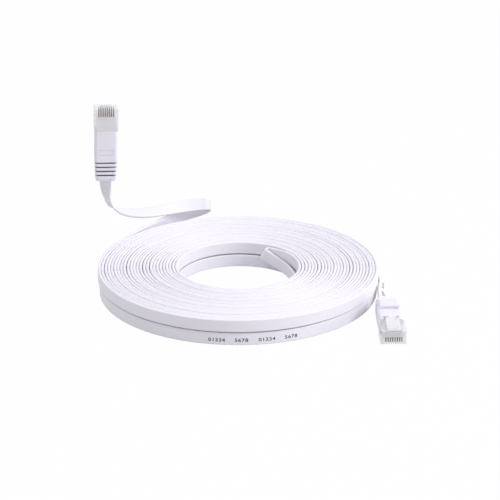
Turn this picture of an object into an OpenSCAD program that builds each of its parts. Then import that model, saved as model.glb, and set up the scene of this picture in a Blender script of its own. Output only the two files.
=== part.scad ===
/* [Cable] */
// Width of the flat cable
cable_w = 5.9; // [5.5:0.1:6.4]
// Thickness of the flat cable
cable_t = 1.35; // [1.1:0.05:1.6]
// Chamfer that stands for the rounded edges of the cable
cable_edge = 0.35; // [0.2:0.05:0.45]

/* [Coil] */
// Outer radius of the coil
coil_outer_r = 66; // [62:0.5:70]
// Radius of the open middle in the upper layer
upper_hole_r = 29.4; // [27:0.2:32]
// Radius of the open middle in the lower layer
lower_hole_r = 28.2; // [26:0.2:31]
// Gap between one turn and the next
turn_gap = 0.47; // [0.44:0.01:0.6]
// Gap between the lower layer and the upper one
layer_gap = 0.45; // [0.42:0.01:0.8]
// Loops in each layer, before the part turns at the two ends
layer_loops = 12; // [6:1:12]

/* [Plug] */
// Width of the plug across the eight contacts
plug_w = 11.68; // [11.5:0.02:11.8]
// Height of the plug body without its latch
plug_h = 6.6; // [6.4:0.05:6.8]
// Length of the plug body from its nose to its rear
plug_len = 21.5; // [20.5:0.1:23]
// Chamfer round the nose of the plug
nose_edge = 0.4; // [0.2:0.05:0.6]
// Thickness of the floor and the roof of the plug body
plug_wall = 1; // [0.8:0.05:1.3]
// Thickness of the side walls of the plug body where the boot grips it
side_wall = 0.35; // [0.3:0.05:0.45]
// Depth of the step in each side of the plug body, from which the boot starts
neck_side_step = 0.8; // [0.76:0.01:0.88]
// Depth of the step in the top and the bottom of the plug body
neck_flat_step = 0.4; // [0.3:0.05:0.5]
// Running clearance between pieces that slide into each other
fit = 0.08; // [0.05:0.01:0.12]

/* [Latch] */
// Width of the latch as far as its stop
latch_w = 6.1; // [5.8:0.1:6.4]
// Width of the finger tab behind the stop
tab_w = 3.3; // [2.8:0.1:4]
// Distance from the hinge line to the end of the tab
latch_len = 13.4; // [12.5:0.1:15]
// Distance from the hinge line to the stop
stop_len = 8.4; // [7.6:0.1:9]
// Thickness of the latch
latch_t = 0.95; // [0.7:0.05:1.2]
// Height of the stop above the back of the latch
stop_h = 0.5; // [0.2:0.05:0.8]
// Angle through which the latch bends when it is pressed
press_angle = 7; // [5:0.5:8]
// Distance from the front of the nose to the hinge line
hinge_inset = 0.8; // [0.7:0.05:1.4]
// Radius of the rolled root of the latch
root_r = 0.6; // [0.5:0.05:0.65]

/* [Contacts and wires] */
// Distance between neighbouring contacts
contact_pitch = 1.02; // [1:0.01:1.04]
// Thickness of a contact blade
blade_t = 0.4; // [0.3:0.01:0.42]
// Length of a contact blade
blade_len = 3.3; // [2.8:0.1:3.6]
// Depth of the contacts below the face of the plug
blade_recess = 0.5; // [0.3:0.05:0.7]
// Outer diameter of an insulated wire
wire_d = 0.6; // [0.5:0.01:0.62]
// Height of the wires above the middle of the plug
wire_z = 0.2; // [0:0.05:0.4]
// Length of the load bar that spaces the wires
bar_len = 5; // [4.6:0.1:5.4]
// Length of the comb at the front of the load bar
comb_len = 1.8; // [1.2:0.1:2]

/* [Boot] */
// Length of the boot
boot_len = 25.8; // [25.2:0.1:27]
// Length of plug body that stands out of the boot
exposed_len = 11.8; // [11.2:0.1:12.5]
// Width of the boot where it meets the plug body
boot_w = 11; // [10.9:0.1:11.6]
// Height of the boot where it meets the plug body
boot_h = 7.8; // [7.4:0.1:8.2]
// Width of the boot at its tail
boot_tail_w = 10.1; // [9.4:0.1:11]
// Height of the boot at its tail
boot_tail_h = 6.9; // [6.2:0.1:7.4]
// Radius of the boot's long edges
boot_edge = 1.3; // [0.8:0.1:1.6]
// Number of grooves round the strain relief
groove_count = 4; // [2:1:4]
// Distance between neighbouring grooves
groove_pitch = 2.15; // [1.9:0.05:2.3]
// Width of a groove
groove_w = 0.8; // [0.5:0.1:1]
// Depth of a groove
groove_depth = 1.1; // [0.7:0.1:1.2]
// Distance from the tail of the boot to its first groove
groove_start = 3.2; // [2.8:0.1:3.4]
// Width of the guard behind the latch
guard_w = 8.8; // [8:0.1:9.2]
// Length of the guard behind the latch
guard_len = 7.8; // [6:0.1:8.4]
// Height of the guard above the boot
guard_h = 2.25; // [1.8:0.05:2.6]
// Distance from the tail of the boot to the front of the guard
guard_front = 14.8; // [13.6:0.1:16]
// Width of the moulded frame on the contact side of the boot
frame_w = 7.4; // [6.5:0.1:8.5]
// Height of the moulded frame on the contact side of the boot
frame_h = 2.7; // [2.4:0.1:3.4]
// Distance from the tail of the boot to the middle of the moulded frame
frame_y = 15.1; // [14:0.1:18]

/* [Ends] */
// Turn of the standing plug about the upright
plug_a_turn = 6; // [0:1:12]
// Lean of the standing plug to the right, seen from the front
plug_a_lean = 1.5; // [0:0.5:4]
// Lean of the standing plug to the front
plug_a_nod = 2; // [0:0.5:4]
// Turn of the lying plug away from the coil
plug_b_turn = 2; // [0:0.5:4]

/* [Hidden] */
CORES = 8;
PLUG_PIECES = ["housing", "latch", "load_bar", "boot"];

// colours
JACKET = [0.93, 0.92, 0.96];
CLEAR = [0.86, 0.88, 0.93];
WHITE = [0.95, 0.95, 0.96];
GOLD = [0.83, 0.66, 0.32];
// the eight wires in the order of the contacts
WIRE_COLOURS = [
    [0.96, 0.78, 0.62], [0.93, 0.45, 0.12], [0.72, 0.9, 0.74], [0.16, 0.35, 0.75],
    [0.7, 0.8, 0.95], [0.13, 0.6, 0.28], [0.85, 0.74, 0.64], [0.45, 0.28, 0.17]
];

ROUND = 32;
OVER = 0.1;

// ---- the coil's path ----
// The cable is doubled at its middle. From that fold one half winds out as the upper layer and the
// other half, after it has come down, as the lower layer. Each drawn loop stands for two real turns
// that lie face to face, and the cable has its own thickness at the fold and at both ends.

LOOP_RINGS = 24;
RING_STEP = 360 / LOOP_RINGS;
// the chord between two rings runs this much nearer to the axis than the rings do
CHORD = cos(RING_STEP / 2);
// angles at which the two ends leave the coil and at which the cable is folded
EXIT_A_ANGLE = 148;
EXIT_B_ANGLE = 13;
FOLD_ANGLE = 58;

upper_rings = layer_loops * LOOP_RINGS - (EXIT_A_ANGLE - FOLD_ANGLE) / RING_STEP;
lower_rings = layer_loops * LOOP_RINGS + (FOLD_ANGLE - EXIT_B_ANGLE) / RING_STEP;
upper_loops = upper_rings / LOOP_RINGS;
lower_loops = lower_rings / LOOP_RINGS;

// rings over which a loop grows from the cable's thickness to two turns' thickness
SWELL_RINGS = 2;
// rings in which the lower half comes down, moves out to its layer, and stays a single turn
DESCENT_RINGS = 11;
SETTLE_RINGS = 17;
SINGLE_RINGS = 22;
// ring of the lower half at which it is the wall of the open middle
HOLE_RING = 16;
FOLD_STEPS = 6;

upper_pitch = (coil_outer_r - upper_hole_r + turn_gap) / (upper_loops - 1 + CHORD);
upper_turn_t = upper_pitch * CHORD - turn_gap;
lower_pitch = (coil_outer_r - lower_hole_r - cable_t) / (lower_loops - HOLE_RING / LOOP_RINGS);
lower_turn_t = lower_pitch * CHORD - turn_gap;

lower_z = cable_w / 2;
upper_z = cable_w * 3 / 2 + layer_gap;

function clamped(x) = max(0, min(1, x));
function eased(x) = let (c = clamped(x)) c * c * (3 - 2 * c);
function blend(a, b, x) = a + (b - a) * x;
function radial(angle) = [cos(angle), sin(angle), 0];
function around(angle) = [-sin(angle), cos(angle), 0];
function unit(v) = v / norm(v);

function upper_t(i) =
    blend(cable_t, upper_turn_t, clamped(min(i, upper_rings - i) / SWELL_RINGS));
function lower_t(j) =
    blend(cable_t, lower_turn_t,
          min(clamped((j - SINGLE_RINGS) / SWELL_RINGS), clamped((lower_rings - j) / SWELL_RINGS)));

// radius of the outer face of each half; i counts from the outer end and j from the fold
function upper_face(i) = coil_outer_r - upper_pitch * i / LOOP_RINGS;
function descent_face(j) = upper_face(upper_rings + LOOP_RINGS - j);
function lower_face(j) =
    blend(descent_face(j), coil_outer_r - lower_pitch * (lower_loops - j / LOOP_RINGS),
          eased((j - DESCENT_RINGS) / (SETTLE_RINGS - DESCENT_RINGS)));

// a ring is [middle, direction of the thickness, direction of the width, thickness]
UP = [0, 0, 1];

function upper_ring(i) =
    let (a = EXIT_A_ANGLE + i * RING_STEP, t = upper_t(i))
    [radial(a) * (upper_face(i) - t / 2) + UP * upper_z, radial(a), UP, t];
function lower_ring(j) =
    let (a = FOLD_ANGLE - j * RING_STEP, t = lower_t(j),
         z = blend(upper_z, lower_z, eased(j / DESCENT_RINGS)))
    [radial(a) * (lower_face(j) - t / 2) + UP * z, -radial(a), UP, t];

fold_outer_r = upper_face(upper_rings) - cable_t / 2;
fold_inner_r = lower_face(0) - cable_t / 2;
fold_r = (fold_outer_r - fold_inner_r) / 2;

function fold_ring(k) =
    let (a = 180 * k / FOLD_STEPS,
         side = radial(FOLD_ANGLE) * cos(a) + around(FOLD_ANGLE) * sin(a))
    [radial(FOLD_ANGLE) * (fold_inner_r + fold_r) + side * fold_r + UP * upper_z, side, UP, cable_t];

// the ends run straight for one width of the cable
coil_end_a =
    let (r = upper_ring(0))
    [r[0] - around(EXIT_A_ANGLE) * cable_w, r[1], UP, cable_t];
coil_end_b =
    let (r = lower_ring(lower_rings))
    [r[0] - around(EXIT_B_ANGLE) * cable_w, r[1], UP, cable_t];

coil_rings = concat(
    [coil_end_a],
    [for (i = [0:upper_rings]) upper_ring(i)],
    [for (k = [1:FOLD_STEPS - 1]) fold_ring(k)],
    [for (j = [0:lower_rings]) lower_ring(j)],
    [coil_end_b]
);

// the coil's section: two flat faces, a flat foot and a chamfered top
function coil_section(t) =
    let (h = t / 2, w = cable_w / 2)
    [[-h, -w], [h, -w], [h, w - cable_edge], [h - cable_edge, w],
     [-h + cable_edge, w], [-h, w - cable_edge]];
// the lead's section: a flat strip with its four corners chamfered
function lead_section(t) =
    let (h = t / 2, w = cable_w / 2)
    [[-h, -w + cable_edge], [-h + cable_edge, -w], [h - cable_edge, -w], [h, -w + cable_edge],
     [h, w - cable_edge], [h - cable_edge, w], [-h + cable_edge, w], [-h, w - cable_edge]];

function ring_points(ring, section) = [for (p = section) ring[0] + ring[1] * p[0] + ring[2] * p[1]];

// distance from a point to a ring's own section, taken as a rectangle
function section_gap(point, ring) =
    let (d = point - ring[0],
         s = max(0, abs(d * ring[1]) - ring[3] / 2),
         w = max(0, abs(d * ring[2]) - cable_w / 2))
    norm([s, w, d * cross(ring[1], ring[2])]);

// least gap of the coil to itself, over every pair of rings that are near but not along one stretch
NEAR = 9;
APART = 8;
function near_gaps(rings) = [
    for (i = [0:len(rings) - 1], j = [i + APART:len(rings) - 1])
        if (norm(rings[i][0] - rings[j][0]) < NEAR)
            min([for (p = ring_points(rings[j], coil_section(rings[j][3])))
                section_gap(p, rings[i])])
];

// ---- sweep ----

module tube(rings, sections) {
    sides = len(sections[0]);
    last = len(rings) - 1;
    points = [for (k = [0:last]) each ring_points(rings[k], sections[k])];
    walls = [
        for (k = [0:last - 1], m = [0:sides - 1])
            let (a = k * sides + m,
                 b = k * sides + (m + 1) % sides,
                 c = b + sides,
                 d = a + sides)
            each [[a, b, c], [a, c, d]]
    ];
    first_cap = [for (m = [1:sides - 2]) [0, m + 1, m]];
    last_cap = [for (m = [1:sides - 2]) [last * sides, last * sides + m, last * sides + m + 1]];
    polyhedron(points = points, faces = concat(first_cap, walls, last_cap), convexity = 10);
}

// ---- the plugs' places ----
// In a plug's own frame x runs across it, y from the tail of its boot to its nose, and z to its latch.

overall_len = boot_len + exposed_len;
housing_back = overall_len - plug_len;
neck_w = plug_w - 2 * neck_side_step;
neck_h = plug_h - 2 * neck_flat_step;

PLUG_A_TAIL = [-64.8, 58, 34.1];
PLUG_B_TAIL = [67.4, -27.8, boot_h / 2];
PLUG_A_ANGLES = [90 - plug_a_nod, -plug_a_lean, 180 + plug_a_turn];
PLUG_B_ANGLES = [0, 0, 180 + plug_b_turn];

function about_x(p, a) = [p[0], p[1] * cos(a) - p[2] * sin(a), p[1] * sin(a) + p[2] * cos(a)];
function about_y(p, a) = [p[0] * cos(a) + p[2] * sin(a), p[1], p[2] * cos(a) - p[0] * sin(a)];
function about_z(p, a) = [p[0] * cos(a) - p[1] * sin(a), p[0] * sin(a) + p[1] * cos(a), p[2]];
function turned(p, a) = about_z(about_y(about_x(p, a[0]), a[1]), a[2]);
function at_a(p) = PLUG_A_TAIL + turned(p, PLUG_A_ANGLES);
function at_b(p) = PLUG_B_TAIL + turned(p, PLUG_B_ANGLES);

module place_a() {
    translate(PLUG_A_TAIL) rotate(PLUG_A_ANGLES) children();
}

module place_b() {
    translate(PLUG_B_TAIL) rotate(PLUG_B_ANGLES) children();
}

// ---- the leads' routes ----
// Each point is [place, direction of the cable's width], chosen by hand.

ROUTE_A = [
    [[-48.5, 46, 9.4], [0, 0, 1]],
    [[-44.5, 52, 9.3], [0, 0, 1]],
    [[-40, 58, 9.5], [0, 0, 1]],
    [[-35, 64, 9.9], [0, 0, 1]],
    [[-29.5, 69, 10.3], [0, 0, 1]],
    [[-23.5, 72.5, 10.9], [0, 0, 1]],
    [[-18.7, 74, 12], [0, 0, 1]],
    [[-15.8, 73.4, 13.8], [0, 0, 1]],
    [[-14.6, 71.3, 15.9], [0, 0, 1]],
    [[-15.8, 69.2, 16.9], [0, 0.2, 1]],
    [[-19, 68.2, 17.1], [0, 0.3, 0.9]],
    [[-24, 66.7, 17], [0, 0.4, 0.9]],
    [[-30, 64.4, 16.9], [0, 0.5, 0.8]],
    [[-36, 61.8, 16.7], [0, 0.7, 0.7]],
    [[-42, 59.5, 16.4], [0, 0.8, 0.6]],
    [[-48, 57.8, 16.5], [0, 0.9, 0.5]],
    [[-53, 56.8, 17], [0, 0.9, 0.3]],
    [[-57, 56.3, 17.9], [0, 1, 0.1]],
    [[-60.4, 56.5, 19.4], [0, 0.9, -0.3]],
    [[-62.7, 57, 21.6], [-0.4, 0.8, -0.3]],
    [[-63.9, 57.7, 24.6], [-0.6, 0.8, 0]],
    [[-64.5, 58, 27.8], [-0.8, 0.5, 0]],
    [[-64.7, 58.1, 31.2], [-1, 0.2, 0]]
];

ROUTE_B = [
    [[66.4, 5, 3.2], [-0.3, 0, 0.9]],
    [[67.5, 0.5, 3.2], [-0.6, 0, 0.9]],
    [[67.7, -4, 3.2], [-0.6, 0, 0.8]],
    [[67.4, -9, 3.3], [-0.7, 0, 0.7]],
    [[67.2, -13.5, 3.5], [-0.8, 0, 0.6]],
    [[67.2, -18, 3.7], [-0.9, 0, 0.4]],
    [[67.3, -23, 3.8], [-1, 0, 0.1]]
];

// the jacket ends this far inside the plug body
JACKET_IN_PLUG = 5.1;
jacket_end = housing_back + JACKET_IN_PLUG;

// rings square to the route, from its neighbours on both sides
function route_rings(route) = [
    for (k = [1:len(route) - 2])
        let (along = unit(route[k + 1][0] - route[k - 1][0]),
             width = unit(route[k][1] - along * (route[k][1] * along)))
        [route[k][0], cross(width, along), width, cable_t]
];

function lead_rings(start, along, route, tail, inner, width) =
    let (axis = unit(inner - tail),
         full = concat([[start[0] - along, UP], [start[0], UP]], route, [[tail, width], [inner, width]]),
         inside = route_rings(full))
    concat(inside, [[inner, cross(width, axis), width, cable_t]]);

lead_a_rings = lead_rings(coil_end_a, -around(EXIT_A_ANGLE), ROUTE_A,
                          at_a([0, 0, 0]), at_a([0, jacket_end, 0]),
                          at_a([1, 0, 0]) - at_a([0, 0, 0]));
lead_b_rings = lead_rings(coil_end_b, -around(EXIT_B_ANGLE), ROUTE_B,
                          at_b([0, 0, 0]), at_b([0, jacket_end, 0]),
                          at_b([1, 0, 0]) - at_b([0, 0, 0]));

module lead(rings) {
    color(JACKET) tube(rings, [for (r = rings) lead_section(r[3])]);
}

module coil() {
    color(JACKET) tube(coil_rings, [for (r = coil_rings) coil_section(r[3])]);
}

// ---- the plug ----

// x of contact i, counted from 0
function contact_x(i) = (i - (CORES - 1) / 2) * contact_pitch;

hinge_y = overall_len - hinge_inset;
hinge_z = plug_h / 2;
blade_front = overall_len - 0.9;
blade_back = blade_front - blade_len;
bar_front = blade_back - comb_len - 0.3;
bar_back = bar_front - bar_len;
cavity_w = neck_w - 2 * side_wall;
cavity_top = plug_h / 2 - plug_wall;
bar_w = cavity_w - 2 * fit;
bar_roof = 1.3;
slot_w = blade_t + fit;
wire_bore = wire_d + fit;

// box from its lowest to its highest corner
module block(low, high) {
    translate(low) cube(high - low);
}

// outline in the y-z plane, drawn out across the plug
module across(width, points) {
    rotate([90, 0, 90]) linear_extrude(width, center = true) polygon(points);
}

module rod_x(d, length, y, z) {
    translate([0, y, z]) rotate([0, 90, 0]) cylinder(d = d, h = length, center = true, $fn = ROUND);
}

// the plug body's outline from the side or from above: a neck inside the boot, then the full size
function body_outline(half, neck) = [
    [housing_back, -neck], [boot_len + fit, -neck], [boot_len + fit, -half],
    [overall_len - nose_edge, -half], [overall_len, -half + nose_edge],
    [overall_len, half - nose_edge], [overall_len - nose_edge, half],
    [boot_len + fit, half], [boot_len + fit, neck], [housing_back, neck]
];

module housing() {
    half = plug_h / 2;
    color(CLEAR) difference() {
        intersection() {
            across(plug_w, body_outline(half, neck_h / 2));
            linear_extrude(plug_h * 2, center = true)
                polygon([for (p = body_outline(plug_w / 2, neck_w / 2)) [p[1], p[0]]]);
        }
        difference() {
            block([-cavity_w / 2, housing_back - OVER, -cavity_top],
                  [cavity_w / 2, blade_back - fit, cavity_top]);
            // crimped bar that holds the jacket
            across(cavity_w + 1, [
                [housing_back + 1, -cavity_top - OVER], [housing_back + 1.6, -cable_t / 2 - fit],
                [housing_back + 3, -cable_t / 2 - fit], [housing_back + 4.4, -cavity_top - OVER]
            ]);
        }
        for (i = [0:CORES - 1]) translate([contact_x(i), 0, 0]) {
            block([-slot_w / 2, blade_back - fit - OVER, -half - OVER],
                  [slot_w / 2, overall_len + OVER, wire_z - wire_d / 4]);
            translate([0, blade_back - fit - OVER, wire_z]) rotate([-90, 0, 0])
                cylinder(d = wire_bore, h = blade_len + OVER, $fn = ROUND);
        }
        // seat of the latch's root, open to the nose
        rod_x(2 * (root_r + fit), latch_w + 4 * fit, hinge_y, hinge_z);
        block([-latch_w / 2 - 2 * fit, hinge_y, hinge_z - root_r - fit],
              [latch_w / 2 + 2 * fit, overall_len + OVER, half + OVER]);
    }
}

// clearance under the latch at its root, and its rise along its length
LATCH_LIFT = 0.1;
latch_rise = tan(press_angle + 0.3);

module latch_profile(length, rise) {
    start = LATCH_LIFT;
    translate([0, hinge_y, hinge_z]) across(rise, [
        [0, start], [-length, start + length * latch_rise],
        [-length, start + length * latch_rise + latch_t], [-0.4, start + latch_t + 0.05],
        [0.1, start + latch_t * 0.8]
    ]);
}

module latch() {
    stop_front = stop_len - 3;
    top = LATCH_LIFT + latch_t;
    color(CLEAR) union() {
        rod_x(2 * root_r, latch_w, hinge_y, hinge_z);
        intersection() {
            latch_profile(latch_len, latch_w);
            // plan: full width to the stop, then the tapered finger tab
            linear_extrude(plug_h * 4, center = true) polygon([
                [-latch_w / 2, hinge_y + 1], [latch_w / 2, hinge_y + 1],
                [latch_w / 2, hinge_y - stop_len], [tab_w / 2 + 0.3, hinge_y - stop_len - 0.4],
                [tab_w / 2, hinge_y - stop_len - 1.2], [tab_w / 2, hinge_y - latch_len + 0.5],
                [tab_w / 2 - 0.5, hinge_y - latch_len], [-tab_w / 2 + 0.5, hinge_y - latch_len],
                [-tab_w / 2, hinge_y - latch_len + 0.5], [-tab_w / 2, hinge_y - stop_len - 1.2],
                [-tab_w / 2 - 0.3, hinge_y - stop_len - 0.4], [-latch_w / 2, hinge_y - stop_len]
            ]);
        }
        // the two shoulders that catch in the jack
        for (side = [-1, 1])
            translate([side * (latch_w + tab_w) / 4, hinge_y, hinge_z])
                across((latch_w - tab_w) / 2, [
                    [-stop_front, top + stop_front * latch_rise - OVER],
                    [-stop_len, top + stop_len * latch_rise - OVER],
                    [-stop_len, top + stop_len * latch_rise + stop_h]
                ]);
    }
}

module load_bar() {
    color(WHITE) difference() {
        union() {
            block([-bar_w / 2, bar_back, -cavity_top + fit], [bar_w / 2, bar_front, bar_roof]);
            for (k = [0:CORES]) translate([contact_x(k) - contact_pitch / 2, 0, 0])
                block([-0.17, bar_front - OVER, -cavity_top + fit], [0.17, bar_front + comb_len, 0.9]);
        }
        for (i = [0:CORES - 1]) translate([contact_x(i), bar_back - OVER, wire_z]) rotate([-90, 0, 0])
            cylinder(d = wire_bore, h = bar_len + 2 * OVER, $fn = ROUND);
        // the sloped lead-in at the rear
        across(bar_w + 1, [
            [bar_back - OVER, bar_roof - 0.9], [bar_back - OVER, bar_roof + OVER],
            [bar_back + 1.2, bar_roof + OVER]
        ]);
    }
}

module contact(i) {
    low = -plug_h / 2 + blade_recess;
    top = wire_z - wire_d / 2;
    point = wire_z + wire_d / 4;
    nose_r = 0.7;
    color(GOLD) translate([contact_x(i), 0, 0]) across(blade_t, concat(
        [[blade_back, low]],
        [for (a = [-90:15:0])
            [blade_front - fit - nose_r + nose_r * cos(a), low + nose_r + nose_r * sin(a)]],
        [[blade_front - fit, top], [blade_front - 0.6, top], [blade_front - 0.9, point],
         [blade_front - 1.2, top], [blade_back + 1.2, top], [blade_back + 0.9, point],
         [blade_back + 0.6, top], [blade_back, top]]
    ));
}

// spacing of the wires where they leave the jacket
JACKET_PITCH = 0.68;
WIRE_SIDES = 8;
wire_section = [for (k = [0:WIRE_SIDES - 1])
    [cos(k * 360 / WIRE_SIDES), sin(k * 360 / WIRE_SIDES)] * wire_d / 2];

// each wire fans out from the jacket in an even S and then runs straight to its contact
FAN_STEPS = 6;

module wire(i) {
    from = [contact_x(i) * JACKET_PITCH / contact_pitch, jacket_end + 0.15, 0];
    to = [contact_x(i), bar_back - 0.4, wire_z];
    fan = [for (k = [0:FAN_STEPS])
        let (e = eased(k / FAN_STEPS))
        [blend(from[0], to[0], e), blend(from[1], to[1], k / FAN_STEPS), blend(from[2], to[2], e)]];
    places = concat(fan, [[to[0], blade_front - 0.8, wire_z]]);
    rings = [for (p = places) [p, [1, 0, 0], [0, 0, 1], wire_d]];
    color(WIRE_COLOURS[i]) tube(rings, [for (r = rings) wire_section]);
}

// ---- the boot ----

BOOT_STRAIGHT = 12;
TAIL_ROUND = 1.4;
TAIL_STEP = 0.8;

// width and height of the boot's outline at a distance from its tail
function boot_share(y) = clamped((y - TAIL_ROUND) / (BOOT_STRAIGHT - TAIL_ROUND));
function boot_w_at(y) = blend(boot_tail_w, boot_w, boot_share(y));
function boot_h_at(y) = blend(boot_tail_h, boot_h, boot_share(y));

// outline of a rectangle with round corners
CORNER_STEP = 18;
function rounded_points(w, h, r) = [
    for (q = [0:3], a = [0:CORNER_STEP:90])
        let (x = (q == 0 || q == 3) ? 1 : -1, z = q < 2 ? 1 : -1)
        [x * (w / 2 - r) + r * cos(q * 90 + a), z * (h / 2 - r) + r * sin(q * 90 + a)]
];

module rounded(w, h, r) {
    polygon(rounded_points(w, h, r));
}

// the boot's outline swept from its rounded tail to its front
module boot_shape() {
    tail = [for (a = [0:30:90]) [TAIL_ROUND * (1 - cos(a)), TAIL_STEP * (1 - sin(a))]];
    rings = concat(
        [for (e = tail) [e[0], boot_tail_w - 2 * e[1], boot_tail_h - 2 * e[1]]],
        [[BOOT_STRAIGHT, boot_w, boot_h], [boot_len, boot_w, boot_h]]
    );
    tube([for (r = rings) [[0, r[0], 0], [1, 0, 0], [0, 0, 1], 0]],
         [for (r = rings) rounded_points(r[1], r[2], boot_edge)]);
}

module groove(y) {
    w = boot_w_at(y) - 2 * groove_depth;
    h = boot_h_at(y) - 2 * groove_depth;
    translate([0, y, 0]) rotate([-90, 0, 0]) linear_extrude(groove_w) difference() {
        square(2 * plug_w, center = true);
        rounded(w, h, boot_edge - groove_depth / 2);
    }
}

GUARD_EDGE = 0.8;

module guard() {
    base = boot_h / 2 - groove_depth - 0.2;
    top = boot_h / 2 + guard_h;
    back = guard_front - guard_len;
    difference() {
        intersection() {
            across(guard_w, [
                [back, base], [guard_front, base], [guard_front, top - 0.5],
                [guard_front - 0.5, top], [back + 1.8, top], [back + 0.7, top - 0.5]
            ]);
            translate([0, back - 1, 0]) rotate([-90, 0, 0]) linear_extrude(guard_len + 2)
                rounded(guard_w, 2 * top, GUARD_EDGE);
        }
        // shallow hollow low in the front face
        block([-guard_w / 2 + GUARD_EDGE, guard_front - 0.8, boot_h / 2 + 0.2],
              [guard_w / 2 - GUARD_EDGE, guard_front + OVER, boot_h / 2 + 1]);
    }
}

module boot() {
    cable_slot = [cable_w + 4 * fit, cable_t + 4 * fit];
    color(WHITE) union() {
        difference() {
            boot_shape();
            block([-neck_w / 2 - fit, housing_back - fit, -neck_h / 2 - fit],
                  [neck_w / 2 + fit, boot_len + OVER, neck_h / 2 + fit]);
            block([-cable_slot[0] / 2, -OVER, -cable_slot[1] / 2],
                  [cable_slot[0] / 2, housing_back + OVER, cable_slot[1] / 2]);
            for (k = [0:groove_count - 1]) groove(groove_start + k * groove_pitch - groove_w / 2);
            // notch for the finger tab when the latch is pressed
            block([-latch_w / 2 - 0.4, hinge_y - latch_len - 0.9, neck_h / 2 - OVER],
                  [latch_w / 2 + 0.4, boot_len + OVER, boot_h]);
            // moulded frame on the contact side
            translate([0, frame_y, -boot_h / 2]) difference() {
                cube([frame_w, frame_h, 0.4], center = true);
                cube([frame_w - 0.6, frame_h - 0.6, 1], center = true);
            }
        }
        guard();
    }
}

echo(least_gap = min(near_gaps(coil_rings)) * CHORD, loops = upper_loops + lower_loops);

coil();
lead(lead_a_rings);  // lead_a
lead(lead_b_rings);  // lead_b
place_a() housing();  // housing_a
place_a() latch();  // latch_a
place_a() load_bar();  // load_bar_a
place_a() boot();  // boot_a
place_b() housing();  // housing_b
place_b() latch();  // latch_b
place_b() load_bar();  // load_bar_b
place_b() boot();  // boot_b
for (i = [1:CORES]) {
    place_a() contact(i - 1);
    place_b() contact(i - 1);
    place_a() wire(i - 1);
    place_b() wire(i - 1);
}
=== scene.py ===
"""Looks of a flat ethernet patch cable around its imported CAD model.

Lengths are in millimetres in the functions that work out shapes, and in metres in every mesh.
"""
import math

import bmesh
import bpy
from mathutils import Matrix, Vector


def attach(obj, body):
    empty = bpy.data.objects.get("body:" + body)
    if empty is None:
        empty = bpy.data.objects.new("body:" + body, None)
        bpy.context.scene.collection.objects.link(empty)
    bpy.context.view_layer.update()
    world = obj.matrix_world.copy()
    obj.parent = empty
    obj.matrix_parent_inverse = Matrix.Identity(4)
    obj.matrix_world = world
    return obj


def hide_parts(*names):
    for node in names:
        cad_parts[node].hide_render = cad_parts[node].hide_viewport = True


MM = 0.001
UP = Vector((0, 0, 1))

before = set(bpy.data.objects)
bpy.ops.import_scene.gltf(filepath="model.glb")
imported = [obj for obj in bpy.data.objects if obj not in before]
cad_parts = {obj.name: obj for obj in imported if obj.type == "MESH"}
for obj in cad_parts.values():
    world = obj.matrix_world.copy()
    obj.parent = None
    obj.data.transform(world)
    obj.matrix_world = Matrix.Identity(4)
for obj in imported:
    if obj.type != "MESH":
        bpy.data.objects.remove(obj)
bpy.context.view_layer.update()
scene = bpy.context.scene


# ---------------------------------------------------------------- small helpers

def clamped(x):
    return max(0.0, min(1.0, x))


def eased(x):
    c = clamped(x)
    return c * c * (3 - 2 * c)


def mixed(a, b, x):
    return a + (b - a) * x


def radial(angle):
    a = math.radians(angle)
    return Vector((math.cos(a), math.sin(a), 0))


def around(angle):
    a = math.radians(angle)
    return Vector((-math.sin(a), math.cos(a), 0))


def add_piece(name, mesh, body):
    piece = bpy.data.objects.new(name, mesh)
    scene.collection.objects.link(piece)
    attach(piece, body)
    return piece


def keep_flats(piece, sharp_angle):
    """Smooth shading in which the large flat faces stay flat."""
    for polygon in piece.data.polygons:
        polygon.use_smooth = True
    piece.data.set_sharp_from_angle(angle=math.radians(sharp_angle))
    weighted = piece.modifiers.new("weighted", "WEIGHTED_NORMAL")
    weighted.keep_sharp = True


# ---------------------------------------------------------------- materials

MM_PER_METRE = 1000.0


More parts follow.
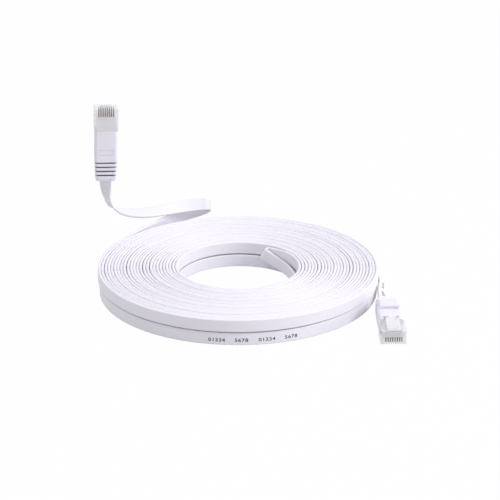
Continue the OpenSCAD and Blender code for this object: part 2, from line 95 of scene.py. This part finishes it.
class Nodes:
    """A material under construction. Its textures are laid out in millimetres."""

    def __init__(self, name):
        self.material = bpy.data.materials.new(name)
        self.material.use_nodes = True
        self.tree = self.material.node_tree
        self.shader = self.tree.nodes["Principled BSDF"]

    def add(self, kind, **values):
        """A new node, with values for its inputs or its own settings."""
        node = self.tree.nodes.new(kind)
        for key, value in values.items():
            if key in node.inputs:
                node.inputs[key].default_value = value
            else:
                setattr(node, key, value)
        return node

    def link(self, source, target):
        self.tree.links.new(source, target)

    def strip_coordinates(self, stretch):
        """Position along, through and across the strip, stretched by three factors."""
        place = self.add("ShaderNodeAttribute", attribute_name="strip")
        mapping = self.add("ShaderNodeMapping", Scale=stretch)
        self.link(place.outputs["Vector"], mapping.inputs["Vector"])
        return mapping.outputs["Vector"]

    def object_coordinates(self):
        place = self.add("ShaderNodeTexCoord")
        mapping = self.add("ShaderNodeMapping", Scale=(MM_PER_METRE,) * 3)
        self.link(place.outputs["Object"], mapping.inputs["Vector"])
        return mapping.outputs["Vector"]

    def noise(self, vector, scale, detail):
        node = self.add("ShaderNodeTexNoise", Scale=scale, Detail=detail)
        self.link(vector, node.inputs["Vector"])
        return node.outputs["Fac"]

    def ramp_colour(self, factor, low, high, low_source=None):
        """From one colour to another; low_source, if given, takes the place of the first."""
        node = self.add("ShaderNodeMix", data_type="RGBA")
        low_input, high_input = [s for s in node.inputs if s.type == "RGBA"]
        low_input.default_value = (*low, 1)
        high_input.default_value = (*high, 1)
        if low_source:
            self.link(low_source, low_input)
        self.link(factor, node.inputs["Factor"])
        return [s for s in node.outputs if s.type == "RGBA"][0]

    def ramp_value(self, factor, low, high):
        node = self.add("ShaderNodeMapRange")
        node.inputs["To Min"].default_value = low
        node.inputs["To Max"].default_value = high
        self.link(factor, node.inputs["Value"])
        return node.outputs["Result"]

    def colour_from(self, source):
        self.link(source, self.shader.inputs["Base Color"])

    def roughness(self, factor, low, high):
        self.link(self.ramp_value(factor, low, high), self.shader.inputs["Roughness"])

    def bump(self, height, strength, depth):
        node = self.add("ShaderNodeBump", Strength=strength, Distance=depth * MM)
        self.link(height, node.inputs["Height"])
        self.link(node.outputs["Normal"], self.shader.inputs["Normal"])

    def set(self, **values):
        """Values of the shader's own sockets; an underscore stands for a space."""
        for key, value in values.items():
            self.shader.inputs[key.replace("_", " ")].default_value = value


JACKET_COLOURS = ((0.84, 0.815, 0.9), (0.875, 0.85, 0.935))
BOOT_COLOURS = ((0.82, 0.795, 0.88), (0.855, 0.83, 0.915))
# painted shade at the bottom of the boot's grooves
PAINTED_GROOVE_SHADE = (0.1, 0.085, 0.12)
CLEAR_COLOURS = ((0.93, 0.915, 0.97), (0.97, 0.96, 1.0))
CLEAR_ALPHA = 0.6
BAR_COLOURS = ((0.8, 0.79, 0.84), (0.86, 0.85, 0.9))
GOLD_COLOURS = ((0.2, 0.145, 0.115), (0.35, 0.26, 0.2))
INK_COLOURS = ((0.02, 0.02, 0.03), (0.09, 0.085, 0.1))

# stretches of the jacket's textures along, through and across the strip
LINES_STRETCH = (0.02, 3.0, 3.0)
PATCHES_STRETCH = (0.08, 0.3, 0.3)

# soft PVC lets a little light in
PVC_DEPTH = {"IOR": 1.5, "Subsurface_Weight": 0.08,
             "Subsurface_Radius": (1.2 * MM, 1.1 * MM, 1.3 * MM)}


def jacket_material():
    """Extruded PVC: fine lines along the cable, a faint unevenness, a soft sheen."""
    m = Nodes("jacket_pvc")
    lines = m.noise(m.strip_coordinates(LINES_STRETCH), scale=2.2, detail=2)
    patches = m.noise(m.strip_coordinates(PATCHES_STRETCH), scale=1, detail=3)
    m.colour_from(m.ramp_colour(patches, *JACKET_COLOURS))
    m.roughness(lines, 0.38, 0.52)
    m.bump(lines, strength=0.25, depth=0.04)
    m.set(**PVC_DEPTH)
    return m.material


def boot_material():
    """Moulded soft PVC with a very fine spark-eroded grain, and shade painted dark at the bottom of
    its grooves.
    """
    m = Nodes("boot_pvc")
    place = m.object_coordinates()
    grain = m.noise(place, scale=5, detail=4)
    patches = m.noise(place, scale=0.25, detail=2)
    # where the painted groove shade goes, mixed over the boot's own colour
    depth = m.add("ShaderNodeAttribute", attribute_name="groove")
    without_painted_shade = m.ramp_colour(patches, *BOOT_COLOURS)
    m.colour_from(m.ramp_colour(depth.outputs["Fac"], BOOT_COLOURS[0], PAINTED_GROOVE_SHADE, without_painted_shade))
    m.roughness(grain, 0.42, 0.58)
    m.bump(grain, strength=0.2, depth=0.03)
    m.set(**PVC_DEPTH)
    return m.material


def clear_material():
    """Clear, slightly milky polycarbonate with faint flow marks."""
    m = Nodes("clear_polycarbonate")
    flow = m.noise(m.object_coordinates(), scale=0.6, detail=2)
    m.colour_from(m.ramp_colour(flow, *CLEAR_COLOURS))
    m.roughness(flow, 0.06, 0.14)
    m.bump(flow, strength=0.15, depth=0.05)
    m.set(IOR=1.45, Alpha=CLEAR_ALPHA)
    return m.material


def bar_material():
    m = Nodes("white_nylon")
    grain = m.noise(m.object_coordinates(), scale=3, detail=3)
    m.colour_from(m.ramp_colour(grain, *BAR_COLOURS))
    m.roughness(grain, 0.35, 0.5)
    m.bump(grain, strength=0.1, depth=0.03)
    return m.material


def gold_material():
    m = Nodes("gold_plating")
    brushed = m.noise(m.object_coordinates(), scale=8, detail=2)
    m.colour_from(m.ramp_colour(brushed, *GOLD_COLOURS))
    m.roughness(brushed, 0.2, 0.36)
    m.bump(brushed, strength=0.1, depth=0.02)
    m.set(Metallic=1.0)
    return m.material


def print_material():
    m = Nodes("print_ink")
    worn = m.noise(m.object_coordinates(), scale=4, detail=3)
    m.colour_from(m.ramp_colour(worn, *INK_COLOURS))
    m.roughness(worn, 0.5, 0.7)
    return m.material


# the noise levels between which bare insulation turns into a mark
MARK_EDGE = (0.5, 0.54)


def wire_material(name, base, mark):
    """Wire insulation; a wire of a white pair carries broken marks of its partner's colour."""
    m = Nodes(name)
    marks = m.noise(m.object_coordinates(), scale=0.9, detail=1)
    steep = m.add("ShaderNodeMapRange")
    steep.inputs["From Min"].default_value = MARK_EDGE[0]
    steep.inputs["From Max"].default_value = MARK_EDGE[1]
    m.link(marks, steep.inputs["Value"])
    m.colour_from(m.ramp_colour(steep.outputs["Result"], base, mark))
    m.roughness(marks, 0.25, 0.4)
    return m.material


JACKET = jacket_material()
BOOT = boot_material()
CLEAR = clear_material()
BAR = bar_material()
GOLD = gold_material()
INK = print_material()

WHITE_WIRE = (0.82, 0.8, 0.8)
PAIR_COLOURS = {
    "orange": (0.85, 0.24, 0.04), "green": (0.05, 0.4, 0.12),
    "blue": (0.03, 0.12, 0.5), "brown": (0.2, 0.08, 0.035),
}
SHADE_OF_PLAIN_WIRE = 0.8
WIRE_ORDER = ("white_orange", "orange", "white_green", "blue",
              "white_blue", "green", "white_brown", "brown")


def wire_looks():
    looks = {}
    for name in WIRE_ORDER:
        colour = PAIR_COLOURS[name.replace("white_", "")]
        if name.startswith("white_"):
            base, mark = WHITE_WIRE, colour
        else:
            base, mark = colour, tuple(c * SHADE_OF_PLAIN_WIRE for c in colour)
        looks[name] = wire_material("insulation_" + name, base, mark)
    return looks


WIRES = wire_looks()


# ---------------------------------------------------------------- the cable's section

CABLE_W = 5.9
CABLE_T = 1.35
CABLE_EDGE = 0.5
EDGE_STEPS = 3
STRIP_SHARP_ANGLE = 60


def strip_section():
    """The flat cable's section: flat faces and round edges, as (through, across) offsets."""
    half_t, half_w, r = CABLE_T / 2, CABLE_W / 2, CABLE_EDGE
    points = []
    for corner, (x, y) in enumerate(((1, 1), (-1, 1), (-1, -1), (1, -1))):
        for k in range(EDGE_STEPS + 1):
            a = math.radians(90 * corner + 90 * k / EDGE_STEPS)
            points.append((x * (half_t - r) + r * math.cos(a),
                           y * (half_w - r) + r * math.sin(a)))
    return points


SECTION = strip_section()


def running_lengths(rings):
    """How far along the strip each ring lies."""
    runs = [0.0]
    for k in range(1, len(rings)):
        runs.append(runs[-1] + (rings[k][0] - rings[k - 1][0]).length)
    return runs


def strip_piece(name, rings, node):
    """A flat cable swept along rings of (centre, direction through, direction across)."""
    sides = len(SECTION)
    verts, place, faces = [], [], []
    for run, (centre, through, across) in zip(running_lengths(rings), rings):
        for s, w in SECTION:
            verts.append((centre + through * s + across * w) * MM)
            place.append((run, s, w))
    for k in range(len(rings) - 1):
        for m in range(sides):
            a, b = k * sides + m, k * sides + (m + 1) % sides
            faces.append((a, b, b + sides, a + sides))
    last = (len(rings) - 1) * sides
    faces.append(tuple(range(sides - 1, -1, -1)))
    faces.append(tuple(range(last, last + sides)))
    mesh = bpy.data.meshes.new(name)
    mesh.from_pydata(verts, [], faces)
    mesh.validate()
    mesh.materials.append(JACKET)
    attribute = mesh.attributes.new("strip", "FLOAT_VECTOR", "POINT")
    attribute.data.foreach_set("vector", [x for p in place for x in p])
    work = bmesh.new()
    work.from_mesh(mesh)
    bmesh.ops.recalc_face_normals(work, faces=work.faces)
    work.to_mesh(mesh)
    work.free()
    piece = add_piece(name, mesh, "cable")
    keep_flats(piece, STRIP_SHARP_ANGLE)
    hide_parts(node)
    return piece


# ---------------------------------------------------------------- the coil

COIL_R = 66.0
EXIT_A_ANGLE = 148.0
EXIT_B_ANGLE = 13.0
FOLD_ANGLE = 60.5
LAYER_GAP = 0.45
LOWER_Z = CABLE_W / 2
UPPER_Z = CABLE_W * 3 / 2 + LAYER_GAP
WHOLE_TURNS = 25
UPPER_TURNS = WHOLE_TURNS + (FOLD_ANGLE - EXIT_A_ANGLE) / 360
LOWER_TURNS = WHOLE_TURNS + (FOLD_ANGLE - EXIT_B_ANGLE) / 360
RINGS_PER_TURN = 60

# Radii of the outer face before the fold, just after it, and where the cable has come down
# inside the lower layer.
FOLD_FACE = 28.9
DESCENT_FACE = 25.75
DOWN_FACE = 27.2

# The way down fades at a rate per turn. After it the cable joins the lower layer's spiral.
DESCENT_RATE = 15.0
JOIN_TURNS = 11 / 24
SETTLE_TURNS = 17 / 24
LOWER_PITCH = 1.4875

# The hairpin: how far it drops, how much its upper edge leans back for each mm of height, and how
# far the leg before it is pressed in. The last two begin so many turns before the fold.
FOLD_STEPS = 14
FOLD_DROP = 0.5
FOLD_LEAN = 0.55
LEAN_TURNS = 0.05
FOLD_PINCH = 1.3
PINCH_TURNS = 0.09

# how far the coil's ends run on inside the leads
LAP = 0.6

# The gaps of the upper layer that stand out, by their turn counted from outside: a weight, how
# much that rises and falls around the turn, and the angle at which it is highest.
WIDE_GAPS = {
    1: (1.2, 0.5, 180), 3: (1.3, 0.5, 0), 8: (2.8, 0.25, 300), 13: (1.6, 0.5, 180),
    15: (1.5, 0.6, 180), 18: (2.2, 0.5, 0), 22: (1.4, 0.3, 90), 23: (1.7, 0.5, 0),
}

# The rise and fall of the upper layer's turns: height, and its waves as (weight, rate, phase).
# It fades over half a turn at both ends.
LIFT = 0.1
LIFT_WAVES = ((1, 2.39, 1.1), (0.6, 5.13, 0), (0.5, 0.83, 2))
LIFT_FADE = 0.5


def usual_gap(turn):
    """The same three values for a gap that doesn't stand out, a little different each turn."""
    return 0.75 + 0.35 * math.sin(2.4 * turn), 0.3, 70 * turn


def gap_weight(turn, angle):
    weight, lift, highest = WIDE_GAPS.get(turn) or usual_gap(turn)
    return weight * (1 + lift * math.cos(math.radians(angle - highest)))


def gaps_spent(turns, angle):
    """The weights of all gaps from outside to so many turns."""
    whole = int(turns)
    spent = sum(gap_weight(k, angle) for k in range(whole))
    return spent + (turns - whole) * gap_weight(whole, angle)


def upper_face(turns):
    """Outer face of the upper layer after so many turns from its outer end."""
    angle = EXIT_A_ANGLE + 360 * turns
    free = COIL_R - FOLD_FACE - CABLE_T * UPPER_TURNS
    share = gaps_spent(turns, angle) / gaps_spent(UPPER_TURNS, angle)
    return COIL_R - CABLE_T * turns - free * share


def upper_lift(turns):
    fade = eased(turns / LIFT_FADE) * eased((UPPER_TURNS - turns) / LIFT_FADE)
    wave = sum(weight * math.sin(rate * turns + phase) for weight, rate, phase in LIFT_WAVES)
    return LIFT * wave * fade


def still_up(turns):
    """How much of the way down is left, so many turns after the fold: 1 at the fold."""
    return math.exp(-DESCENT_RATE * turns)


def lower_face(turns):
    """Outer face of the lower layer, so many turns after the fold."""
    inside = mixed(DOWN_FACE, DESCENT_FACE, still_up(turns))
    settled = COIL_R - LOWER_PITCH * (LOWER_TURNS - turns)
    share = eased((turns - JOIN_TURNS) / (SETTLE_TURNS - JOIN_TURNS))
    return mixed(inside, settled, share)


def leaning(angle, lean):
    """Upright across the cable, with the upper edge drawn back along the coil."""
    return UP - around(angle) * lean


def coil_ring_upper(turns):
    angle = EXIT_A_ANGLE + 360 * turns
    left = UPPER_TURNS - turns
    lean = FOLD_LEAN * eased(1 - left / LEAN_TURNS)
    pinch = FOLD_PINCH * eased(1 - left / PINCH_TURNS)
    r = upper_face(turns) - pinch - CABLE_T / 2
    centre = radial(angle) * r + UP * (UPPER_Z + upper_lift(turns))
    return centre, radial(angle), leaning(angle, lean)


def coil_ring_lower(turns):
    angle = FOLD_ANGLE - 360 * turns
    z = mixed(LOWER_Z, UPPER_Z - FOLD_DROP, still_up(turns))
    centre = radial(angle) * (lower_face(turns) - CABLE_T / 2) + UP * z
    return centre, -radial(angle), leaning(angle, FOLD_LEAN * still_up(turns)).normalized()


def fold_rings():
    outer = FOLD_FACE - FOLD_PINCH - CABLE_T / 2
    inner = DESCENT_FACE - CABLE_T / 2
    r = (outer - inner) / 2
    upright = leaning(FOLD_ANGLE, FOLD_LEAN)
    rings = []
    for k in range(1, FOLD_STEPS):
        share = k / FOLD_STEPS
        a = math.pi * share
        side = radial(FOLD_ANGLE) * math.cos(a) + around(FOLD_ANGLE) * math.sin(a)
        z = UPPER_Z - FOLD_DROP * share ** 3
        centre = radial(FOLD_ANGLE) * (inner + r) + side * r + UP * z
        rings.append((centre, side, upright.lerp(upright.normalized(), share)))
    return rings


def layer_rings(ring_at, turns):
    count = round(turns * RINGS_PER_TURN)
    return [ring_at(turns * k / count) for k in range(count + 1)]


def coil_rings():
    upper = layer_rings(coil_ring_upper, UPPER_TURNS)
    lower = layer_rings(coil_ring_lower, LOWER_TURNS)
    first = (upper[0][0] - around(EXIT_A_ANGLE) * LAP, upper[0][1], UP.copy())
    last = (lower[-1][0] - around(EXIT_B_ANGLE) * LAP, lower[-1][1], UP.copy())
    return [first, *upper, *fold_rings(), *lower, last]


# ---------------------------------------------------------------- the free ends

# The free ends' routes: (place, direction of the cable's width).
ROUTE_A = (
    ((-48.5, 46, 9.4), (0, 0, 1)), ((-44.5, 52, 9.3), (0, 0, 1)),
    ((-40, 58, 9.5), (0, 0, 1)), ((-35, 64, 9.9), (0, 0, 1)),
    ((-29.5, 69, 10.3), (0, 0, 1)), ((-23.5, 72.5, 10.9), (0, 0, 1)),
    ((-18.7, 74, 12), (0, 0, 1)), ((-15.8, 73.4, 13.8), (0, 0, 1)),
    ((-14.6, 71.3, 15.9), (0, 0, 1)), ((-15.8, 69.2, 16.9), (0, 0.2, 1)),
    ((-19, 68.2, 17.1), (0, 0.3, 0.9)), ((-24, 66.7, 17), (0, 0.4, 0.9)),
    ((-30, 64.4, 16.9), (0, 0.5, 0.8)), ((-36, 61.8, 16.7), (0, 0.7, 0.7)),
    ((-42, 59.5, 16.4), (0, 0.8, 0.6)), ((-48, 57.8, 16.5), (0, 0.9, 0.5)),
    ((-53, 56.8, 17), (0, 0.9, 0.3)), ((-57, 56.3, 17.9), (0, 1, 0.1)),
    ((-60.4, 56.5, 19.4), (0, 0.9, -0.3)), ((-62.7, 57, 21.6), (-0.4, 0.8, -0.3)),
    ((-63.9, 57.7, 24.6), (-0.6, 0.8, 0)), ((-64.5, 58, 27.8), (-0.8, 0.5, 0)),
    ((-64.7, 58.1, 31.2), (-1, 0.2, 0)),
)
ROUTE_B = (
    ((64.8, 10, 3), (-0.3, 0, 0.9)), ((66.2, 5, 3.1), (-0.5, 0, 0.8)),
    ((66.9, 0.5, 3.2), (-0.6, 0, 0.8)), ((67.2, -4, 3.2), (-0.6, 0, 0.8)),
    ((66.7, -9, 3.3), (-0.7, 0, 0.7)), ((66.6, -13.5, 3.5), (-0.8, 0, 0.6)),
    ((66.9, -18, 3.7), (-0.9, 0, 0.4)), ((67.3, -23, 3.8), (-1, 0, 0.1)),
)
ROUTE_STEPS = 7

# how much of the cable's twist between two points of a route is eased at both of them
TWIST_EASE = 0.3

# The plugs' own frames, as (origin, turns about x, y and z): x across, y from the boot's tail to
# the nose, z to the latch. The cable runs straight in at the tail, to the jacket's end.
PLUG_A = (Vector((-64.8, 58, 34.1)), (88, -1.5, 186))
PLUG_B = (Vector((67.4, -27.8, 3.9)), (0, 0, 182))
STRAIGHT_IN = 7
JACKET_END = 21.2


def turned(point, angles):
    about_x, about_y, about_z = (Matrix.Rotation(math.radians(a), 3, axis)
                                 for a, axis in zip(angles, "XYZ"))
    return about_z @ about_y @ about_x @ Vector(point)


def at_plug(plug, point):
    return plug[0] + turned(point, plug[1])


def in_plug(plug, point):
    """The place in the plug's own frame of a point of the shared frame."""
    away = point - plug[0]
    return [away.dot(turned(axis, plug[1])) for axis in ((1, 0, 0), (0, 1, 0), (0, 0, 1))]


def curved(before, start, end, after, t):
    """A point of the smooth curve through four points, between the middle two."""
    return ((start * 2) + (end - before) * t
            + (before * 2 - start * 5 + end * 4 - after) * t ** 2
            + (start * 3 - before - end * 3 + after) * t ** 3) * 0.5


def lead_rings(coil_end, along, route, plug):
    """A free end's rings, from the coil's end in its direction to inside the plug."""
    start = coil_end[0]
    axis = turned((0, 1, 0), plug[1])
    tail = at_plug(plug, (0, 0, 0))
    inner = at_plug(plug, (0, JACKET_END, 0))
    places = [start - along * CABLE_W, start] + [Vector(p) for p, w in route]
    places += [tail, tail + axis * STRAIGHT_IN, inner, inner + axis * STRAIGHT_IN]
    widths = [UP, UP] + [Vector(w).normalized() for p, w in route]
    widths += [turned((1, 0, 0), plug[1])] * 4
    centres, across = [], []
    for k in range(1, len(places) - 2):
        steps = ROUTE_STEPS if k < len(places) - 3 else ROUTE_STEPS + 1
        for s in range(steps):
            t = s / ROUTE_STEPS
            twist = mixed(t, eased(t), TWIST_EASE)
            centres.append(curved(*places[k - 1:k + 3], t))
            across.append(widths[k].lerp(widths[k + 1], twist).normalized())
    rings = []
    for k, centre in enumerate(centres):
        ahead = centres[min(k + 1, len(centres) - 1)] - centres[max(k - 1, 0)]
        if k == 0:
            ahead = along.copy()
        ahead.normalize()
        w = (across[k] - ahead * across[k].dot(ahead)).normalized()
        rings.append((centre, w.cross(ahead), w))
    return rings


COIL_RINGS = coil_rings()
LEAD_A_RINGS = lead_rings(COIL_RINGS[0], -around(EXIT_A_ANGLE), ROUTE_A, PLUG_A)
LEAD_B_RINGS = lead_rings(COIL_RINGS[-1], -around(EXIT_B_ANGLE), ROUTE_B, PLUG_B)

coil = strip_piece("cable_coil", COIL_RINGS, "coil")
lead_a = strip_piece("cable_lead_a", LEAD_A_RINGS, "lead_a")
lead_b = strip_piece("cable_lead_b", LEAD_B_RINGS, "lead_b")


# ---------------------------------------------------------------- the plugs

WELD_DISTANCE = 0.002
FLAT_ANGLE = 0.5
PLUG_SHARP_ANGLE = 40

# how wide the broken edges are, and from which angle on an edge is broken
HOUSING_BEVEL = 0.1
LATCH_BEVEL = 0.12
BAR_BEVEL = 0.06
BOOT_BEVEL = 0.16
CONTACT_BEVEL = 0.04
BEVEL_ANGLE = 35
BOOT_BEVEL_ANGLE = 30


def break_edges(piece, width, angle):
    broken = piece.modifiers.new("broken_edges", "BEVEL")
    broken.width = width * MM
    broken.segments = 2
    broken.limit_method = "ANGLE"
    broken.angle_limit = math.radians(angle)
    broken.use_clamp_overlap = True
    broken.miter_outer = "MITER_ARC"


def refined(node, material, body, bevel=0, bevel_angle=BEVEL_ANGLE):
    """The CAD piece again, with its edges softly broken where it has a bevel."""
    work = bmesh.new()
    work.from_mesh(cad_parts[node].data)
    bmesh.ops.remove_doubles(work, verts=work.verts, dist=WELD_DISTANCE * MM)
    bmesh.ops.dissolve_limit(work, angle_limit=math.radians(FLAT_ANGLE), verts=work.verts,
                             edges=work.edges, use_dissolve_boundaries=False)
    mesh = bpy.data.meshes.new(node + "_look")
    work.to_mesh(mesh)
    work.free()
    mesh.materials.clear()
    mesh.materials.append(material)
    piece = add_piece(node + "_look", mesh, body)
    if bevel:
        break_edges(piece, bevel, bevel_angle)
    keep_flats(piece, PLUG_SHARP_ANGLE)
    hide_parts(node)
    return piece


# The boot: the stretch that its grooves take, its half width and half height at both ends of
# that stretch, and how far under its surface a point is taken to be down in a groove, where shade
# is painted.
GROOVED = (2.7, 10.2)
BOOT_HALVES = ((5.12, 3.52), (5.42, 3.83))
GROOVE_FLOOR = 0.7


def mark_grooves(boot, plug):
    """Where shade is painted in the grooves: 1 at their bottom, 0 elsewhere, as a mesh attribute.
    """
    attribute = boot.data.attributes.new("groove", "FLOAT", "POINT")
    for vertex, mark in zip(boot.data.vertices, attribute.data):
        x, y, z = in_plug(plug, vertex.co / MM)
        share = (y - GROOVED[0]) / (GROOVED[1] - GROOVED[0])
        half_w, half_h = (mixed(a, b, share) for a, b in zip(*BOOT_HALVES))
        deep = abs(x) < half_w - GROOVE_FLOOR and abs(z) < half_h - GROOVE_FLOOR
        mark.value = 1.0 if 0 <= share <= 1 and deep else 0.0


# The guard behind the latch: the floor of its front hollow and how near a point has to be to it,
# how far that comes forward, and the heights between which it lies.
HOLLOW_FLOOR = 14.0
HOLLOW_NEAR = 0.05
HOLLOW_FILL = 0.45
HOLLOW_HEIGHTS = (4.0, 5.0)


def fill_hollow(boot, plug):
    """Leaves only a shallow hollow across the front of the guard."""
    forward = turned((0, HOLLOW_FILL * MM, 0), plug[1])
    for vertex in boot.data.vertices:
        x, y, z = in_plug(plug, vertex.co / MM)
        if abs(y - HOLLOW_FLOOR) < HOLLOW_NEAR and HOLLOW_HEIGHTS[0] < z < HOLLOW_HEIGHTS[1]:
            vertex.co += forward


def plug_pieces(end, plug):
    housing = refined("housing_" + end, CLEAR, "cable", HOUSING_BEVEL)
    latch = refined("latch_" + end, CLEAR, "latch_" + end + "_body", LATCH_BEVEL)
    bar = refined("load_bar_" + end, BAR, "cable", BAR_BEVEL)
    boot = refined("boot_" + end, BOOT, "cable", BOOT_BEVEL, BOOT_BEVEL_ANGLE)
    mark_grooves(boot, plug)
    fill_hollow(boot, plug)
    pieces = [housing, latch, bar, boot]
    for k, colour in enumerate(WIRE_ORDER, 1):
        number = "%s%d" % (end, k)
        pieces.append(refined("contact_" + number, GOLD, "cable", CONTACT_BEVEL))
        pieces.append(refined("wire_" + number, WIRES[colour], "cable"))
    return pieces


plug_a_pieces = plug_pieces("a", PLUG_A)
plug_b_pieces = plug_pieces("b", PLUG_B)


# ---------------------------------------------------------------- the printed numbers

PRINT_LIFT = 0.015
PRINT_BOLDNESS = 0.03
PRINT_SPACING = 1.15
PRINT_LONGEST_EDGE = 0.5

# size of the font for digits of height 1
FONT_SIZE = 1.4

# Digits by their angle on the front of the lower layer, and by where they start along lead b.
COIL_PRINT = ((-104.2, "01234"), (-93.9, "5678"), (-84.6, "01234"), (-74.2, "5678"))
LEAD_PRINT = ((23.1, "01234"), (33.7, "5678"))

# how they are printed: height, stretch along the cable, its face, and their shift across it
COIL_PRINT_LOOK = (1.6, 1.2, -1, -0.45)
LEAD_PRINT_LOOK = (1.4, 1.3, 1, 0.4)


def digits_mesh(name, text, height):
    """Digits as a flat mesh, fine enough to be laid round the cable's bends."""
    curve = bpy.data.curves.new(name, "FONT")
    curve.body = text
    curve.size = height * FONT_SIZE
    curve.space_character = PRINT_SPACING
    curve.offset = height * PRINT_BOLDNESS
    source = bpy.data.objects.new(name + "_source", curve)
    mesh = bpy.data.meshes.new_from_object(source)
    bpy.data.objects.remove(source)
    work = bmesh.new()
    work.from_mesh(mesh)
    long_edges = [e for e in work.edges if e.calc_length() > PRINT_LONGEST_EDGE]
    bmesh.ops.subdivide_edges(work, edges=long_edges, cuts=2)
    work.to_mesh(mesh)
    work.free()
    return mesh


def printed(name, text, look, rings, start):
    """Digits printed on the strip, read against its direction from a distance along it."""
    height, stretch, face, across_shift = look
    mesh = digits_mesh(name, text, height)
    runs = running_lengths(rings)
    low = min(v.co.y for v in mesh.vertices)
    high = max(v.co.y for v in mesh.vertices)
    for vertex in mesh.vertices:
        run = start - vertex.co.x * stretch
        k = 1
        while k < len(runs) - 1 and runs[k] < run:
            k += 1
        t = (run - runs[k - 1]) / (runs[k] - runs[k - 1])
        centre = rings[k - 1][0].lerp(rings[k][0], t)
        through = rings[k - 1][1].lerp(rings[k][1], t).normalized()
        across = rings[k - 1][2].lerp(rings[k][2], t).normalized()
        side = vertex.co.y - (low + high) / 2 + across_shift
        out = through * face * (CABLE_T / 2 + PRINT_LIFT)
        vertex.co = (centre + out + across * side) * MM
    mesh.materials.clear()
    mesh.materials.append(INK)
    return add_piece(name, mesh, "cable")


def print_on_coil():
    """Four groups of digits on the front of the lower layer."""
    layer_end = running_lengths(COIL_RINGS)[-1] - LAP
    outer_turn = 2 * math.pi * (COIL_R - CABLE_T / 2)
    for k, (angle, text) in enumerate(COIL_PRINT, 1):
        back = 1 - (EXIT_B_ANGLE - angle) / 360
        start = layer_end - back * outer_turn
        printed("print_coil_%d" % k, text, COIL_PRINT_LOOK, COIL_RINGS, start)


def print_on_lead():
    """The same digits where they come round to the lying plug's lead."""
    for k, (start, text) in enumerate(LEAD_PRINT, 1):
        printed("print_lead_%d" % k, text, LEAD_PRINT_LOOK, LEAD_B_RINGS, start)


print_on_coil()
print_on_lead()


# ---------------------------------------------------------------- studio

# The studio is in metres, degrees and watts.
CAMERA_PLACE = (0.0, -1.034, 0.4304)
CAMERA_DOWN = 21.656
CAMERA_RIGHT = 0.288
CAMERA_LENS = 171.8
CAMERA_SENSOR = 36
CAMERA_RANGE = (0.05, 50)

WHITE = (1, 1, 1, 1)
AMBIENT = 0.62

FLOOR_HALF = 4.0
FLOOR_COLOUR = (0.64, 0.64, 0.64, 1)
FLOOR_SHADOW = 0.02

# name, place, size and power of each lamp, and the point that all are turned to
LAMPS = (
    ("key", (1.23, -0.31, 0.89), 0.6, 10.4),
    ("top", (-0.45, -0.25, 1.33), 0.9, 4.6),
    ("side", (1.35, -0.45, 0.25), 0.5, 2.8),
)
LAMP_TARGET = Vector((0, 0, 0.01))


def make_camera():
    data = bpy.data.cameras.new("camera")
    data.lens = CAMERA_LENS
    data.sensor_width = CAMERA_SENSOR
    data.clip_start, data.clip_end = CAMERA_RANGE
    camera = bpy.data.objects.new("camera", data)
    camera.location = CAMERA_PLACE
    camera.rotation_euler = (math.radians(90 - CAMERA_DOWN), 0, -math.radians(CAMERA_RIGHT))
    scene.collection.objects.link(camera)
    scene.camera = camera


def seen_directly(tree):
    """1 for camera, glossy and transmission rays, 0 for the light that reaches the object."""
    path = tree.nodes.new("ShaderNodeLightPath")
    seen = path.outputs["Is Camera Ray"]
    for ray in ("Is Glossy Ray", "Is Transmission Ray"):
        either = tree.nodes.new("ShaderNodeMath")
        either.operation = "MAXIMUM"
        tree.links.new(seen, either.inputs[0])
        tree.links.new(path.outputs[ray], either.inputs[1])
        seen = either.outputs[0]
    return seen


def mix_to_output(tree, factor, low, high, output):
    mix = tree.nodes.new("ShaderNodeMixShader")
    tree.links.new(factor, mix.inputs[0])
    tree.links.new(low.outputs[0], mix.inputs[1])
    tree.links.new(high.outputs[0], mix.inputs[2])
    tree.links.new(mix.outputs[0], output.inputs["Surface"])


def shining(tree, kind, strength):
    node = tree.nodes.new(kind)
    node.inputs["Color"].default_value = WHITE
    node.inputs["Strength"].default_value = strength
    return node


def make_world():
    """White as it is seen, and dimmer as it lights the object."""
    world = bpy.data.worlds.new("studio")
    scene.world = world
    world.use_nodes = True
    tree = world.node_tree
    tree.nodes.clear()
    lit = shining(tree, "ShaderNodeBackground", AMBIENT)
    white = shining(tree, "ShaderNodeBackground", 1.0)
    output = tree.nodes.new("ShaderNodeOutputWorld")
    mix_to_output(tree, seen_directly(tree), lit, white, output)


def make_floor():
    """A white floor: it lights the object as white paper does, and keeps a light shadow."""
    mesh = bpy.data.meshes.new("floor")
    corners = [(x * FLOOR_HALF, y * FLOOR_HALF, 0) for x, y in ((-1, -1), (1, -1), (1, 1), (-1, 1))]
    mesh.from_pydata(corners, [], [(0, 1, 2, 3)])
    material = bpy.data.materials.new("floor_paper")
    material.use_nodes = True
    tree = material.node_tree
    paper = tree.nodes["Principled BSDF"]
    paper.inputs["Base Color"].default_value = FLOOR_COLOUR
    paper.inputs["Roughness"].default_value = 0.9
    paper.inputs["Specular IOR Level"].default_value = 0.0
    glow = shining(tree, "ShaderNodeEmission", 1.0)
    share = tree.nodes.new("ShaderNodeMath")
    share.operation = "MULTIPLY"
    share.inputs[1].default_value = 1 - FLOOR_SHADOW
    tree.links.new(seen_directly(tree), share.inputs[0])
    mix_to_output(tree, share.outputs[0], paper, glow, tree.nodes["Material Output"])
    mesh.materials.append(material)
    floor = bpy.data.objects.new("floor", mesh)
    scene.collection.objects.link(floor)


def make_lamp(name, place, size, watts):
    data = bpy.data.lights.new(name, "AREA")
    data.shape = "DISK"
    data.size = size
    data.energy = watts
    lamp = bpy.data.objects.new(name, data)
    lamp.location = place
    lamp.rotation_mode = "QUATERNION"
    lamp.rotation_quaternion = (Vector(place) - LAMP_TARGET).to_track_quat("Z", "Y")
    scene.collection.objects.link(lamp)


make_camera()
make_world()
make_floor()
for lamp_look in LAMPS:
    make_lamp(*lamp_look)

scene.view_settings.view_transform = "Standard"
